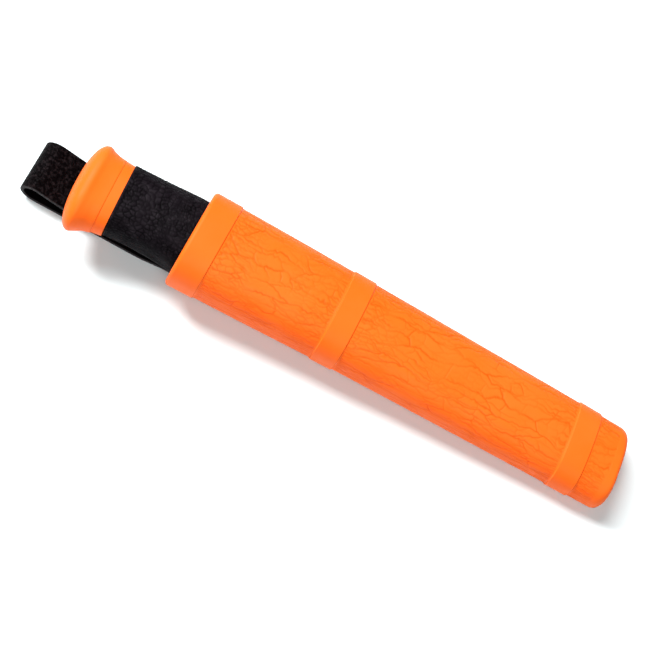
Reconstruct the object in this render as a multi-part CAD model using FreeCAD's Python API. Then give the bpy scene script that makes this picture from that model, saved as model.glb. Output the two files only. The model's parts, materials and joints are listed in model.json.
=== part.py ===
"""Rigging knife in its belt sheath: fixed blade, moulded handle, riveted leather strap.

The knife frame has X along the knife (0 at the sheath's mouth, + towards the tip), +Y on the
spine side and +Z up, with z = 0 on the knife's own axis. seat() then lays the sheathed knife
on its back: it rests on its rivet caps and on a flat foot near the tip, the strap on the ground.
"""
import FreeCAD
import Part
import math
import os

V = FreeCAD.Vector

# Cross-sections are flattened ovals: reach to the spine side, reach to the edge side, half height
OVAL_POWER = 2.5
OVAL_POINTS = 24
SECTION_SPACING = 9.0
LEAN_REACH = 20.0

# Sheath shell
SHEATH_LENGTH = 195.6
SHEATH_OUTSIDE = (
    (0.0, 21.75, 19.1, 15.75),
    (30.0, 22.1, 18.0, 15.1),
    (64.0, 22.3, 16.4, 14.2),
    (96.0, 22.35, 15.4, 13.3),
    (128.0, 22.3, 14.5, 12.4),
    (168.0, 22.25, 13.5, 11.3),
    (188.0, 22.0, 13.1, 10.75),
    (198.0, 21.8, 12.9, 10.5),
)
SHEATH_INSIDE = (
    (-1.0, 18.4, 15.9, 12.4),
    (40.0, 18.4, 15.2, 12.2),
    (70.0, 18.3, 13.9, 11.8),
    (100.0, 18.4, 13.0, 10.9),
    (150.0, 18.4, 11.7, 9.6),
    (192.6, 17.9, 10.4, 8.2),
)
END_ROUND = 4.4
END_ROUND_HEIGHT = 1.8
END_LEAN = -0.10
END_ANGLES = (12, 24, 36, 48, 56, 64, 72, 81, 90)
RIM_ROUND = 1.6
MOUTH_LEAD_IN = 0.6
BAND_PROUD = 0.45
COLLAR_END = 12.55
MIDDLE_BAND = ((64.3, 65.1), (74.15, 75.05))
TIP_BAND = ((170.0, 173.0), (179.8, 182.8))
DRAIN_RADIUS = 2.5

# Leather strap on the back of the sheath
LEATHER = 1.7
STRAP_WIDTH = 22.4
STRAP_Y = 1.9
PAD_DEPTH = 16.2
PAD_HEIGHT = 2.7
PAD_END = 37.0
PAD_MARGIN = 1.0
TAB_START = -3.0
TAB_END = 34.5
TAB_CORNER = 5.0
HINGE_GAP = 0.1
RIVET_X = (10.0, 27.0)

# Belt loop beyond the tab: places along the ground from the sheath's mouth, and heights
FOLD_X = -70.6
FOLD_RADIUS = 6.4
LOOP_RISE_ANGLE = 17.0
LOOP_FRONT = ((-12.0, 7.7), (-49.7, 8.9))
LOOP_BACK_LIFT_X = -15.0
LOOP_BEND = 24.0

# Rivets: a tubular post from inside the sheath, and a cap with a stem that fills it
HEAD_RADIUS = 4.5
HEAD_DEPTH = 1.0
HEAD_PLAY = 0.1
HEAD_SINK = 1.25
POST_RADIUS = 2.1
POST_BORE = 1.35
POST_BORE_DEPTH = 4.6
STEM_RADIUS = 1.3
STEM_LENGTH = 4.2
CAP_RADIUS = 4.75
CAP_HEIGHT = 0.8
RIVET_HOLE = 2.2

# Blade
BLADE_THICKNESS = 2.5
BLADE_HEEL = 72.8
BLADE_TIP = (182.0, 4.5)
SPINE_Y = 13.0
EDGE_Y = -9.5
SPINE_DROP_X = 140.0
BELLY_X = 134.0
BEVEL_HEIGHT = 6.8
BEVEL_SHARE = 0.62
EDGE_THICKNESS = 0.2
RICASSO = 5.0
RICASSO_STEP = 2.0
BLADE_STATIONS = (100.0, BELLY_X, 141.0, 148.0, 155.0, 162.0, 168.0, 173.0, 177.0, 180.0)
POINT_HALF = 0.12
POINT_TALL = 0.25
SERRATION_START = 3.0
SERRATION_COUNT = 9
SERRATION_PITCH = 3.8
SERRATION_RADIUS = 2.1
SERRATION_BITE = 0.9
SERRATION_TILT = 16.0
SERRATION_REACH = (6.0, 14.0)

# Handle; its pommel's ridge and the two joints beside it slant, so each is its x at spine and at edge
RIDGE = (-44.5, -43.5)
CAP_JOINT = (-36.9, -35.1)
GRIP_JOINT = (-33.1, -30.7)
TANG_END = -26.0
TANG_Y = (-5.0, 7.0)
TANG_CORNER = 2.0
TANG_END_PLAY = 0.5
PIN_RADIUS = 2.0
PIN_PLAY = 0.05
PIN_X = (2.0, 42.0)
PIN_Y = 1.0
PIN_HALF_LENGTH = 8.6
GRIP_OUTSIDE = (
    (-31.9, 15.6, 15.2, 11.5),
    (-24.0, 16.0, 14.5, 11.5),
    (-14.0, 16.7, 13.9, 11.5),
    (-4.0, 17.5, 14.1, 11.7),
    (4.0, 17.7, 14.4, 11.8),
    (24.0, 17.2, 14.1, 11.7),
    (45.0, 16.2, 13.2, 11.4),
    (66.0, 15.0, 12.0, 11.0),
)
GRIP_WALL = 2.4
GUARD = ((66.0, 15.5, 12.6, 11.2), (72.8, 15.1, 12.2, 10.9))
CORE_RING = ((-36.0, 15.1, 16.7, 11.0), (-31.9, 15.0, 15.9, 11.0))
SPIGOT = (10.0, 7.0)
SPIGOT_Y = 1.0
SPIGOT_LENGTH = 9.0
SPIGOT_PLAY = 0.1

# Pommel cap: a hollowed neck that flares to a ridge, then a low dome
POMMEL_NECK = (
    (-44.0, 17.1, 21.1, 12.2),
    (-41.8, 16.1, 19.8, 11.6),
    (-39.1, 15.4, 18.1, 11.25),
    (-36.0, 15.2, 17.0, 11.1),
)
POMMEL_END = -50.4
DOME_POWER = 2.35
DOME_STEPS = 8
DOME_LAST = 0.985

# Blade liner: a flat slotted channel held in the sheath by ribs
LINER_ENDS = (76.0, 187.0)
LINER_TAPER_X = 148.0
SLOT_Y = (-10.3, 13.9)
SLOT_EDGE_AT_TIP = -8.6
SLOT_HALF = 1.9
LINER_WALL = 1.3
FUNNEL = 1.1
FUNNEL_LENGTH = 4.0
RIB_X = (77.0, 111.0, 145.0, 179.0)
RIB_WIDTH = 1.8
RIB_PLAY = 0.15
DRAIN_WAY_RADIUS = 1.6
DRAIN_WAY_GAP = 0.8
DRAIN_WAY_Y = 1.9

# Rest: where the shell's underside is cut flat, near the tip
FOOT_X = 178.0
FOOT_DEPTH = 11.2

FAR = 80.0


def oval(x, spine, edge, half, lean=0.0):
    """One closed oval across the knife; lean slants it along x."""
    points = []
    for step in range(OVAL_POINTS):
        angle = 2.0 * math.pi * step / OVAL_POINTS
        across = math.copysign(abs(math.cos(angle)) ** (2.0 / OVAL_POWER), math.cos(angle))
        upward = math.copysign(abs(math.sin(angle)) ** (2.0 / OVAL_POWER), math.sin(angle))
        y = across * (spine if across > 0 else edge)
        points.append(V(x + lean * y, y, half * upward))
    curve = Part.BSplineCurve()
    curve.interpolate(points, PeriodicFlag=True)
    return Part.Wire(curve.toShape())


def reaches(stations, x, grow=0.0):
    """The oval's three reaches at x, on a smooth curve through the stations."""
    last = len(stations) - 2
    index = max(place for place in range(last + 1) if place == 0 or stations[place][0] <= x)
    low, high = stations[index], stations[index + 1]
    before, after = stations[max(index - 1, 0)], stations[min(index + 2, last + 1)]
    span = high[0] - low[0]
    share = (x - low[0]) / span
    result = []
    for column in (1, 2, 3):
        rise_low = span * (high[column] - before[column]) / (high[0] - before[0])
        rise_high = span * (after[column] - low[column]) / (after[0] - low[0])
        gain = high[column] - low[column]
        bend = (rise_low - gain) * (1.0 - share) + (gain - rise_high) * share
        result.append(low[column] + share * gain + share * (1.0 - share) * bend + grow)
    return result


def sections(stations, start, end, grow=0.0):
    """Closely spaced ovals from one place to the other; a place is x or (x at spine, x at edge)."""
    (x0, lean0), (x1, lean1) = plane_of(start), plane_of(end)
    count = max(2, int(abs(x1 - x0) / SECTION_SPACING) + 1)
    ovals = []
    for step in range(count + 1):
        share = step / count
        x = x0 + share * (x1 - x0)
        ovals.append(oval(x, *reaches(stations, x, grow), lean0 + share * (lean1 - lean0)))
    return ovals


def plane_of(place):
    """A place as its x on the axis and its lean."""
    if isinstance(place, float):
        return place, 0.0
    return (place[0] + place[1]) / 2.0, (place[0] - place[1]) / (2.0 * LEAN_REACH)


def skin(ovals):
    """The smooth surface through the ovals, open at both ends."""
    return Part.makeLoft(ovals, False, False).Faces


def loft(ovals):
    """The solid through the ovals."""
    return Part.makeLoft(ovals, True, False)


def ring(outer, inner):
    """The flat face between two ovals in one plane."""
    return Part.makeFace([outer, inner], "Part::FaceMakerBullseye")


def closed(faces):
    """One solid from faces that meet at their edges."""
    shell = Part.Compound(faces)
    shell.sewShape()
    solid = Part.Solid(shell.Shells[0])
    if solid.Volume < 0:
        solid.reverse()
    return solid


def sleeve(outside, inside):
    """A tube between two sets of ovals that start and end in the same planes."""
    ends = [ring(outside[0], inside[0]), ring(outside[-1], inside[-1])]
    return closed(skin(outside) + skin(inside) + ends)


def outline(points, height):
    """A plate from a closed outline in x and y, height thick, centred on z = 0."""
    wire = Part.makePolygon([V(x, y, -height / 2.0) for x, y in points] + [V(*points[0], -height / 2.0)])
    return Part.Face(wire).extrude(V(0, 0, height))


def rod(radius, start, end):
    """A cylinder from one point to another."""
    return Part.makeCylinder(radius, (end - start).Length, start, end - start)


def rounded(x, radius, radius_high, reach, lean, angles, way):
    """Ovals that shrink round an end; way is +1 to the tip, -1 to the mouth.

    Their width follows a quarter circle of the first radius and their height one of the second.
    """
    spine, edge, half = reach
    ovals = []
    for angle in angles:
        turn = math.radians(angle)
        share = math.sin(turn)
        inset = radius * (1.0 - math.cos(turn))
        past = max(0.0, 1.0 - radius / radius_high * (1.0 - share))
        inset_high = radius_high * (1.0 - math.sqrt(1.0 - past * past))
        reached = x + way * radius * share
        ovals.append(oval(reached, spine - inset, edge - inset, half - inset_high, lean))
    return ovals


def sheath_runs():
    """The outside from mouth to tip as runs of ovals; a new run starts where the shape turns or steps."""
    collar = sections(SHEATH_OUTSIDE, RIM_ROUND, COLLAR_END, BAND_PROUD)
    rim = reaches(SHEATH_OUTSIDE, RIM_ROUND, BAND_PROUD)
    mouth = rounded(RIM_ROUND, RIM_ROUND, RIM_ROUND, rim, 0.0, (90, 68, 45, 22), -1.0)
    end_x = SHEATH_LENGTH - END_ROUND
    slant = END_LEAN * LEAN_REACH
    tail = sections(SHEATH_OUTSIDE, TIP_BAND[1], (end_x + slant, end_x - slant))
    last = reaches(SHEATH_OUTSIDE, end_x)
    end = rounded(end_x, END_ROUND, END_ROUND_HEIGHT, last, END_LEAN, END_ANGLES, 1.0)
    return [
        mouth + collar[:1],
        collar,
        sections(SHEATH_OUTSIDE, COLLAR_END, MIDDLE_BAND[0]),
        sections(SHEATH_OUTSIDE, *MIDDLE_BAND, BAND_PROUD),
        sections(SHEATH_OUTSIDE, MIDDLE_BAND[1], TIP_BAND[0]),
        sections(SHEATH_OUTSIDE, *TIP_BAND, BAND_PROUD),
        tail,
        tail[-1:] + end,
    ]


def sheath_shell():
    """The moulded sheath: oval tube, closed and rounded at the tip, with three proud bands."""
    runs = sheath_runs()
    inside = sections(SHEATH_INSIDE, 2.0 * MOUTH_LEAD_IN, SHEATH_INSIDE[-1][0])
    flare = [oval(0.0, *reaches(SHEATH_INSIDE, 0.0, MOUTH_LEAD_IN)), inside[0]]
    faces = [ring(runs[0][0], flare[0]), Part.Face(runs[-1][-1]), Part.Face(inside[-1])]
    faces += skin(flare) + skin(inside)
    for run in runs:
        faces += skin(run)
    for one, following in zip(runs, runs[1:]):
        if not one[-1].isSame(following[0]):
            faces.append(ring(one[-1], following[0]))
    shell = closed(faces)
    pad_width = STRAP_WIDTH + 2.0 * PAD_MARGIN
    pad = Part.makeBox(PAD_END, pad_width, PAD_HEIGHT, V(RIM_ROUND, STRAP_Y - pad_width / 2.0, -PAD_DEPTH))
    below = Part.makeBox(FAR, FAR, FAR, V(-1.0, -FAR / 2.0, -PAD_DEPTH - FAR))
    shell = shell.fuse(pad).cut(below)
    shell = shell.cut(rod(DRAIN_RADIUS, V(SHEATH_INSIDE[-1][0] - 1.0, 0, 0), V(SHEATH_LENGTH + 1.0, 0, 0)))
    sink = SHEATH_INSIDE[0][3] + HEAD_SINK
    for x in RIVET_X:
        shell = shell.cut(rod(RIVET_HOLE, V(x, STRAP_Y, 0), V(x, STRAP_Y, -FAR)))
        shell = shell.cut(rod(HEAD_RADIUS + HEAD_PLAY, V(x, STRAP_Y, 0), V(x, STRAP_Y, -sink)))
    return shell


def rivet_posts():
    """Two tubular posts: a flat head inside the sheath and a shank out through the leather."""
    posts = []
    head_top = -(SHEATH_INSIDE[0][3] + HEAD_SINK - HEAD_DEPTH)
    tail = -(PAD_DEPTH + 2.0 * LEATHER)
    for x in RIVET_X:
        head = rod(HEAD_RADIUS, V(x, STRAP_Y, head_top), V(x, STRAP_Y, head_top - HEAD_DEPTH))
        shank = rod(POST_RADIUS, V(x, STRAP_Y, head_top), V(x, STRAP_Y, tail))
        bore = rod(POST_BORE, V(x, STRAP_Y, tail + POST_BORE_DEPTH), V(x, STRAP_Y, tail))
        posts.append(head.fuse(shank).cut(bore).removeSplitter())
    return Part.makeCompound(posts)


def rivet_caps():
    """Two low domed caps on the leather, each with a stem in its post."""
    caps = []
    seat_z = -(PAD_DEPTH + 2.0 * LEATHER)
    ball = (CAP_RADIUS ** 2 + CAP_HEIGHT ** 2) / (2.0 * CAP_HEIGHT)
    for x in RIVET_X:
        sphere = Part.makeSphere(ball, V(x, STRAP_Y, seat_z - CAP_HEIGHT + ball))
        below = rod(CAP_RADIUS + 1.0, V(x, STRAP_Y, seat_z), V(x, STRAP_Y, seat_z - 3.0))
        stem = rod(STEM_RADIUS, V(x, STRAP_Y, seat_z - 0.1), V(x, STRAP_Y, seat_z + STEM_LENGTH))
        caps.append(sphere.common(below).fuse(stem).removeSplitter())
    return Part.makeCompound(caps)


def strap_tab():
    """Both ends of the strap, stacked on the sheath's back and riveted through."""
    layers = []
    for layer in (1, 2):
        leather = Part.makeBox(TAB_END - TAB_START, STRAP_WIDTH, LEATHER,
                               V(TAB_START, STRAP_Y - STRAP_WIDTH / 2.0, -PAD_DEPTH - layer * LEATHER))
        corners = [edge for edge in leather.Edges
                   if abs(edge.Length - LEATHER) < 1e-6 and edge.BoundBox.XMin > TAB_START + 1.0]
        leather = leather.makeFillet(TAB_CORNER, corners)
        for x in RIVET_X:
            leather = leather.cut(rod(RIVET_HOLE, V(x, STRAP_Y, 0), V(x, STRAP_Y, -FAR)))
        layers.append(leather)
    return Part.makeCompound(layers)


def rounded_path(corners):
    """Straight runs joined by tangent arcs; each corner is (x, z, radius), the ends have none."""
    edges = []
    points = [V(x, 0, z) for x, z, radius in corners]
    start = points[0]
    for index in range(1, len(points) - 1):
        radius = corners[index][2]
        arrive = (points[index] - points[index - 1]).normalize()
        leave = (points[index + 1] - points[index]).normalize()
        turn = arrive.getAngle(leave)
        trim = radius * math.tan(turn / 2.0)
        arc_start = points[index] - arrive * trim
        arc_end = points[index] + leave * trim
        inward = (leave - arrive).normalize()
        middle = points[index] + inward * (radius / math.cos(turn / 2.0) - radius)
        edges.append(Part.LineSegment(start, arc_start).toShape())
        edges.append(Part.Arc(arc_start, middle, arc_end).toShape())
        start = arc_end
    edges.append(Part.LineSegment(start, points[-1]).toShape())
    return Part.Wire(edges)


def strap_loop(tab_top, tab_bottom):
    """The belt loop: from the tab out under the handle, round the fold and back along the ground."""
    slope = math.radians(LOOP_RISE_ANGLE)
    last_x, last_z = LOOP_FRONT[-1]
    fold_top = last_z + math.tan(slope) * (last_x - FOLD_X)
    corners = [(tab_top.x - HINGE_GAP, tab_top.z, 0)]
    corners += [(x, z, LOOP_BEND) for x, z in LOOP_FRONT]
    corners += [(FOLD_X, fold_top, FOLD_RADIUS), (FOLD_X, 0.0, FOLD_RADIUS)]
    corners += [(LOOP_BACK_LIFT_X, 0.0, LOOP_BEND), (tab_bottom.x - HINGE_GAP, tab_bottom.z, 0)]
    path = rounded_path(corners)
    band = path.makeOffset2D(-LEATHER, 0, True, True, False)
    if band.BoundBox.XMin < FOLD_X - 0.1:
        band = path.makeOffset2D(LEATHER, 0, True, True, False)
    band.translate(V(0, STRAP_Y - STRAP_WIDTH / 2.0, 0))
    return band.extrude(V(0, STRAP_WIDTH, 0))


def blade_edges(x):
    """The blade's spine and cutting edge at x, both curving to meet at the tip."""
    tip_x, tip_y = BLADE_TIP
    spine = SPINE_Y
    if x > SPINE_DROP_X:
        share = (x - SPINE_DROP_X) / (tip_x - SPINE_DROP_X)
        spine = SPINE_Y - (SPINE_Y - tip_y) * share ** 1.8
    edge = EDGE_Y
    if x > BELLY_X:
        share = (x - BELLY_X) / (tip_x - BELLY_X)
        edge = tip_y - (tip_y - EDGE_Y) * (1.0 - share ** 2.4) ** 0.72
    return spine, edge


def blade_section(x):
    """The blade's section at x: flat above the bevel, thin at the edge."""
    spine, edge = blade_edges(x)
    bevel = min(edge + BEVEL_HEIGHT, edge + BEVEL_SHARE * (spine - edge))
    half = BLADE_THICKNESS / 2.0
    thin = EDGE_THICKNESS / 2.0
    corners = [(spine, half), (bevel, half), (edge, thin), (edge, -thin), (bevel, -half), (spine, -half)]
    return Part.makePolygon([V(x, y, z) for y, z in corners + corners[:1]])


def blade_point():
    """The last, very small section at the tip."""
    tip_x, tip_y = BLADE_TIP
    high, low, thin = tip_y + POINT_TALL, tip_y - POINT_TALL, POINT_HALF / 2.0
    upper = [(high, POINT_HALF), (tip_y, POINT_HALF), (low, thin)]
    corners = upper + [(y, -z) for y, z in reversed(upper)]
    return Part.makePolygon([V(tip_x, y, z) for y, z in corners + corners[:1]])


def tang():
    """The part of the blade inside the handle, its end corners cut off."""
    low, high = TANG_Y
    join = BLADE_HEEL + 1.0
    corner_x = TANG_END + TANG_CORNER
    corners = ((TANG_END, low + TANG_CORNER), (corner_x, low), (join, low),
               (join, high), (corner_x, high), (TANG_END, high - TANG_CORNER))
    return outline(corners, BLADE_THICKNESS)


def scallop(x):
    """The round cutter for one scallop of the heel, ground in at a slant from one side."""
    slant = math.radians(SERRATION_TILT)
    along = V(0, math.cos(slant), math.sin(slant))
    across = V(0, -math.sin(slant), math.cos(slant))
    middle = V(x, EDGE_Y + SERRATION_BITE, 0) + across * (SERRATION_RADIUS - EDGE_THICKNESS)
    return rod(SERRATION_RADIUS, middle - along * SERRATION_REACH[0], middle + along * SERRATION_REACH[1])


def blade():
    """Flat stock with a bevelled edge, a drop point, a scalloped heel and a tang."""
    first = BLADE_HEEL + RICASSO
    wires = [blade_section(x) for x in (first, *BLADE_STATIONS)]
    cutting = Part.makeLoft(wires + [blade_point()], True, True)
    heel = ((BLADE_HEEL, SPINE_Y), (first, SPINE_Y), (first, EDGE_Y), (BLADE_HEEL, EDGE_Y + RICASSO_STEP))
    steel = cutting.fuse(outline(heel, BLADE_THICKNESS)).fuse(tang())
    for x in PIN_X:
        steel = steel.cut(rod(PIN_RADIUS + PIN_PLAY, V(x, PIN_Y, -FAR), V(x, PIN_Y, FAR)))
    for index in range(SERRATION_COUNT):
        steel = steel.cut(scallop(first + SERRATION_START + SERRATION_PITCH * index))
    return steel.removeSplitter()


def tang_slot():
    """The space in the handle that the tang fills."""
    low, high = TANG_Y
    start, end = TANG_END - TANG_END_PLAY, BLADE_HEEL + 1.0
    corners = ((start, low), (end, low), (end, high), (start, high))
    return outline(corners, BLADE_THICKNESS)


def pin(x):
    """One pin through core and tang."""
    return rod(PIN_RADIUS, V(x, PIN_Y, -PIN_HALF_LENGTH), V(x, PIN_Y, PIN_HALF_LENGTH))


def tang_pins():
    """Two pins through the core and the tang, hidden under the grip."""
    return Part.makeCompound([pin(x) for x in PIN_X])


def grip_ovals(grow=0.0):
    """The ovals of the grip from the pommel's end to the guard."""
    return sections(GRIP_OUTSIDE, GRIP_JOINT, GRIP_OUTSIDE[-1][0], grow)


def straight(stations, leans=(0.0, 0.0)):
    """A solid between two stations."""
    return loft([oval(*station, lean) for station, lean in zip(stations, leans)])


def spigot(play):
    """The block that holds the cap on the core, or with some play, the cap's socket."""
    wide, deep = (reach + play for reach in SPIGOT)
    start = CORE_RING[0][0] - SPIGOT_LENGTH - play
    return Part.makeBox(SPIGOT_LENGTH + 1.0, 2.0 * wide, 2.0 * deep, V(start, -wide - SPIGOT_Y, -deep))


def handle_core():
    """The hard core: guard, middle under the grip, ring at the pommel and a spigot for the cap."""
    ring_leans = [plane_of(joint)[1] for joint in (CAP_JOINT, GRIP_JOINT)]
    core = loft(grip_ovals(-GRIP_WALL)).fuse([straight(GUARD), straight(CORE_RING, ring_leans), spigot(0.0)])
    core = core.cut(tang_slot())
    for x in PIN_X:
        core = core.cut(pin(x))
    return core


def grip_sleeve():
    """The rubber grip over the core."""
    return sleeve(grip_ovals(), grip_ovals(-GRIP_WALL))


def pommel_cap():
    """The flared end of the handle, socketed over the core's spigot."""
    ridge_x, lean = plane_of(RIDGE)
    ridge = POMMEL_NECK[0][1:]
    dome = []
    for step in range(DOME_STEPS, -1, -1):
        share = DOME_LAST * math.sin(math.pi / 2.0 * step / DOME_STEPS)
        shrink = (1.0 - share ** DOME_POWER) ** (1.0 / DOME_POWER)
        x = ridge_x + (POMMEL_END - ridge_x) * share / DOME_LAST
        dome.append(oval(x, *[reach * shrink for reach in ridge], lean))
    neck = sections(POMMEL_NECK, RIDGE, CAP_JOINT)
    cap = closed(skin(dome) + skin(neck) + [Part.Face(dome[0]), Part.Face(neck[-1])])
    return cap.cut(spigot(SPIGOT_PLAY))


def rectangle(x, low, high, half):
    """An upright rectangle across the knife at x."""
    corners = ((low, -half), (high, -half), (high, half), (low, half), (low, -half))
    return Part.makePolygon([V(x, y, z) for y, z in corners])


def liner_plate(half, wall, overrun=0.0):
    """The channel's outline with a wall added on both sides, half high each way."""
    low, high = SLOT_Y
    start, end = LINER_ENDS
    corners = (
        (start - overrun, high + wall),
        (end + overrun, high + wall),
        (end + overrun, SLOT_EDGE_AT_TIP - wall),
        (LINER_TAPER_X, low - wall),
        (start - overrun, low - wall),
    )
    return outline(corners, 2.0 * half)


def liner_ribs():
    """Thin walls across the sheath's hollow, each holed so that water drains past it."""
    ribs = []
    for x in RIB_X:
        far_side = x + RIB_WIDTH
        section = Part.Face(oval(far_side, *reaches(SHEATH_INSIDE, far_side, -RIB_PLAY)))
        wall = section.extrude(V(-RIB_WIDTH, 0, 0))
        for side in (-1.0, 1.0):
            height = side * (SLOT_HALF + LINER_WALL + DRAIN_WAY_RADIUS + DRAIN_WAY_GAP)
            start, end = V(x - 1.0, DRAIN_WAY_Y, height), V(far_side + 1.0, DRAIN_WAY_Y, height)
            wall = wall.cut(rod(DRAIN_WAY_RADIUS, start, end))
        ribs.append(wall)
    return ribs


def blade_liner():
    """The insert that keeps the blade off the sheath: slotted channel, funnel mouth and ribs."""
    low, high = SLOT_Y
    start = LINER_ENDS[0]
    channel = liner_plate(SLOT_HALF + LINER_WALL, LINER_WALL).fuse(liner_ribs())
    slot = liner_plate(SLOT_HALF, 0.0, 1.0)
    open_end = rectangle(start - 0.01, low - FUNNEL, high + FUNNEL, SLOT_HALF + FUNNEL)
    throat = rectangle(start + FUNNEL_LENGTH, low, high, SLOT_HALF)
    return channel.cut(slot).cut(Part.makeLoft([open_end, throat], True, True))


def rest_pose():
    """Tilt and lift that set the rear rivet cap and the foot on the ground."""
    ball = (CAP_RADIUS ** 2 + CAP_HEIGHT ** 2) / (2.0 * CAP_HEIGHT)
    ball_z = ball - CAP_HEIGHT - PAD_DEPTH - 2.0 * LEATHER
    ball_x = RIVET_X[-1]
    reach_x = FOOT_X - ball_x
    drop = -FOOT_DEPTH - ball_z
    distance = math.hypot(reach_x, drop)
    tilt = math.asin(ball / distance) + math.atan2(drop, reach_x)
    lift = ball + ball_x * math.sin(tilt) - ball_z * math.cos(tilt)
    return tilt, lift


def seat(shape, tilt, lift):
    """A knife-frame shape, tipped about the mouth and lifted onto the ground."""
    placed = shape.copy()
    placed.rotate(V(0, 0, 0), V(0, 1, 0), math.degrees(tilt))
    placed.translate(V(0, 0, lift))
    return placed


def seat_point(x, z, tilt, lift):
    """Where a knife-frame point in the y = 0 plane ends up."""
    return V(x * math.cos(tilt) + z * math.sin(tilt), 0, -x * math.sin(tilt) + z * math.cos(tilt) + lift)


def main():
    os.makedirs("parts", exist_ok=True)
    tilt, lift = rest_pose()
    makers = (sheath_shell, blade_liner, strap_tab, rivet_posts, rivet_caps,
              blade, tang_pins, handle_core, grip_sleeve, pommel_cap)
    nodes = {maker.__name__: seat(maker(), tilt, lift) for maker in makers}
    ground = Part.makeBox(4 * FAR, FAR, FAR, V(-FAR, -FAR / 2.0, -FAR))
    nodes["sheath_shell"] = nodes["sheath_shell"].cut(ground)
    tab_top = seat_point(TAB_START, -PAD_DEPTH, tilt, lift)
    tab_bottom = seat_point(TAB_START, -PAD_DEPTH - 2.0 * LEATHER, tilt, lift)
    nodes["strap_loop"] = strap_loop(tab_top, tab_bottom)
    box = FreeCAD.BoundBox()
    for shape in nodes.values():
        box.add(shape.optimalBoundingBox(False, False))
    middle = V(-box.Center.x, -box.Center.y, 0)
    for name, shape in nodes.items():
        shape.translate(middle)
        shape.exportStep("parts/" + name + ".step")
        print(name, len(shape.Solids), "solids, valid", shape.isValid(), round(shape.Volume / 1000.0, 2), "ml")


if __name__ == "__main__":
    main()
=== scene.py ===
"""Looks of the rigging knife in its belt sheath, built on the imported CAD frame.

Shapes are worked out in millimetres in the knife's own frame: x = 0 at the sheath's mouth and +x
towards the tip, +y the spine side, +z up, z = 0 on the knife's axis. Placement puts them in the
row frame, in metres. The moulded shells are grids of rings, closed both ways, so they are watertight.
"""
import json
import math

import bpy
import numpy as np
from mathutils import Matrix, Vector

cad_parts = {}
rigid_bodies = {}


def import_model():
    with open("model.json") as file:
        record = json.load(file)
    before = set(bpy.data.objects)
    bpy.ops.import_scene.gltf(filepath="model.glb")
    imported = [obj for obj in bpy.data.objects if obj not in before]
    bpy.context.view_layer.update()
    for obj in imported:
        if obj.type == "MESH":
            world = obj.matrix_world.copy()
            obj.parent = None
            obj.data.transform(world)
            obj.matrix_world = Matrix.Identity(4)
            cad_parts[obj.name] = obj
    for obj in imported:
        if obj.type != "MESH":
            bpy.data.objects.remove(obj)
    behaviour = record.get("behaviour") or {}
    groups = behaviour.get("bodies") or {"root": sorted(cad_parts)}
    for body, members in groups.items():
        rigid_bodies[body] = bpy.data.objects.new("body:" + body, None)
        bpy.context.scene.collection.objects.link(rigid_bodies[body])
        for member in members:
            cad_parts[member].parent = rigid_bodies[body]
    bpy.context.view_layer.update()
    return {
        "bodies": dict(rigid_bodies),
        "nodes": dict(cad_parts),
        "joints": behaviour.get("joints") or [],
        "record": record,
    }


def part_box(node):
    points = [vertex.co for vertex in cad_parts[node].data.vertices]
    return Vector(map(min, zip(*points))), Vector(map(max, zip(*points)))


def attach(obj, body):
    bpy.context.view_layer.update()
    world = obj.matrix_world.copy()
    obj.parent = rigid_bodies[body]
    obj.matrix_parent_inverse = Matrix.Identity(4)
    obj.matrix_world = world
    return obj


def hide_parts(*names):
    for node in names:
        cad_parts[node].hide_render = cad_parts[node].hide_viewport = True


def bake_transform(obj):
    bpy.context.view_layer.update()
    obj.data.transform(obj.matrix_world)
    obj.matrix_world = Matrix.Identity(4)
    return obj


MM = 0.001

# Ovals across the knife: place, reach to the spine side, reach to the edge side, half height
OVAL_POWER = 2.5
SHEATH_OUTSIDE = (
    (0.0, 21.75, 19.1, 15.75),
    (30.0, 22.1, 18.0, 15.1),
    (64.0, 22.3, 16.4, 14.2),
    (96.0, 22.35, 15.4, 13.3),
    (128.0, 22.3, 14.5, 12.4),
    (168.0, 22.25, 13.5, 11.3),
    (188.0, 22.0, 13.1, 10.75),
    (198.0, 21.8, 12.9, 10.5),
)
SHEATH_INSIDE = (
    (-1.0, 18.4, 15.9, 12.4),
    (40.0, 18.4, 15.2, 12.2),
    (70.0, 18.3, 13.9, 11.8),
    (100.0, 18.4, 13.0, 10.9),
    (150.0, 18.4, 11.7, 9.6),
    (192.6, 17.9, 10.4, 8.2),
)
GRIP_OUTSIDE = (
    (-31.9, 15.6, 15.2, 11.5),
    (-24.0, 16.0, 14.5, 11.5),
    (-14.0, 16.7, 13.9, 11.5),
    (-4.0, 17.5, 14.1, 11.7),
    (4.0, 17.7, 14.4, 11.8),
    (24.0, 17.2, 14.1, 11.7),
    (45.0, 16.2, 13.2, 11.4),
    (66.0, 15.0, 12.0, 11.0),
)
POMMEL_NECK = (
    (-44.0, 17.1, 21.1, 12.2),
    (-41.8, 16.1, 19.8, 11.6),
    (-39.1, 15.4, 18.1, 11.25),
    (-36.0, 15.2, 17.0, 11.1),
)

# Sheath: length, proud bands (each edge is its place on the axis and its lean), end, mouth
SHEATH_END = 195.6
END_ROUND = 4.4
END_ROUND_HEIGHT = 1.8
END_LEAN = -0.10
RIM_ROUND = 1.6
BAND_PROUD = 0.45
COLLAR_EDGE = (12.55, 0.0)
MIDDLE_EDGES = ((64.7, -0.02), (74.6, -0.0225))
TIP_EDGES = ((171.5, -0.075), (181.3, -0.075))
DRAIN_RADIUS = 2.5

# Flat pad under the strap: its reach along and across the knife, and how far below the axis it lies
PAD = (1.6, 38.6, -10.3, 14.1)
PAD_DEPTH = 16.2

# Rivet pockets inside the sheath: their places, then radius and depth below the axis
RIVET_X = (10.0, 27.0)
RIVET_POCKET = (4.6, 13.65)

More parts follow.
